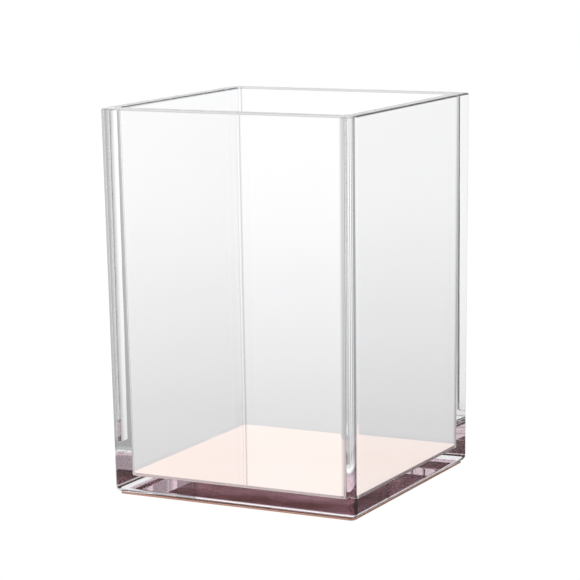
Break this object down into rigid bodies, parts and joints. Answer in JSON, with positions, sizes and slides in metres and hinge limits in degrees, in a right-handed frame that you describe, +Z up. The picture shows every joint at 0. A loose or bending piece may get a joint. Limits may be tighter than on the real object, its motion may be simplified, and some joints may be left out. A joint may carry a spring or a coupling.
{
  "type": "pen holder cup",
  "caption": "Square clear cup with a thick base and rose-gold mirror sheets above and below it, for standing pens in.",
  "frame": {"origin": "middle of the underside, on the surface that the cup stands on", "axes": "+Z up through the middle of the mouth; X and Y square to the walls"},
  "size_m": [0.071, 0.071, 0.1],
  "materials": {
    "clear_acrylic": "clear polished acrylic, moulded in one piece",
    "clear_adhesive": "clear pressure-sensitive film",
    "rose_gold_mirror": "rose-gold mirror film on a thin acrylic sheet",
    "copper_backed_mirror": "rose-gold mirror film on a thin sheet with a copper-coloured back"
  },
  "bodies": {
    "root": {"cup_body": "clear_acrylic", "floor_adhesive": "clear_adhesive", "floor_mirror": "rose_gold_mirror", "base_adhesive": "clear_adhesive", "base_mirror": "copper_backed_mirror"}
  },
  "joints": []
}
